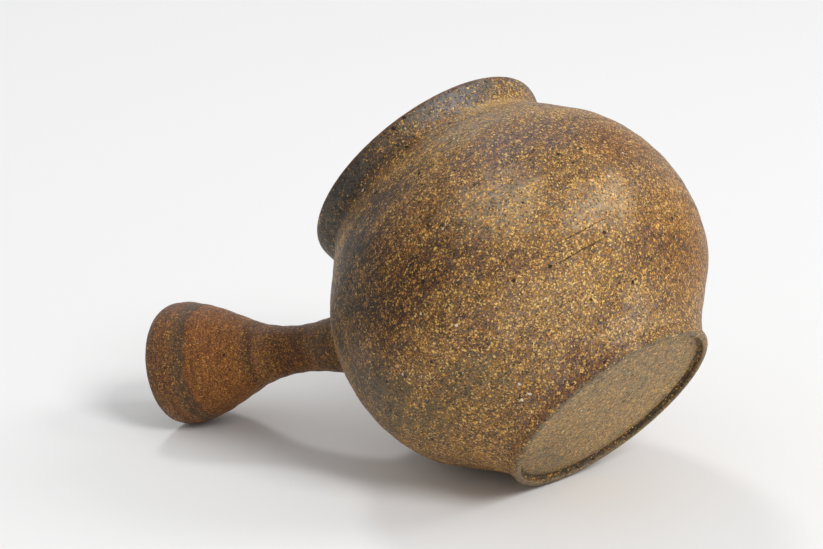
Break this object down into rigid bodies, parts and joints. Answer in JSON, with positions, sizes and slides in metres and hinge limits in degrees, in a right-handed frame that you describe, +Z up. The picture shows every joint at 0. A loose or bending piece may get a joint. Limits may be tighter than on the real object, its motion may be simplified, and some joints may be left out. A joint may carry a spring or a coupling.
{
  "type": "side-handled teapot",
  "caption": "Round side-handled stoneware teapot with a hollow trumpet handle, tapered spout, inner clay strainer and a drop-in knobbed lid that lifts off.",
  "frame": {"origin": "centre of the foot ring's resting plane, on the pot's wheel axis", "axes": "+Z up the wheel axis, +X towards the handle, -Y towards the spout"},
  "size_m": [0.1571, 0.1306, 0.1124],
  "materials": {
    "stoneware": "matte"
  },
  "bodies": {
    "pot": {"pot_body": "stoneware", "handle": "stoneware", "handle_luting_coil": "stoneware", "spout": "stoneware", "spout_luting_coil": "stoneware", "strainer": "stoneware"},
    "lid": {"lid": "stoneware", "lid_knob": "stoneware"}
  },
  "joints": [
    {"name": "lid_lift", "type": "slide", "parent": "pot", "child": "lid", "axis": [0, 0, 1], "range_m": [0, 0.08]}
  ]
}
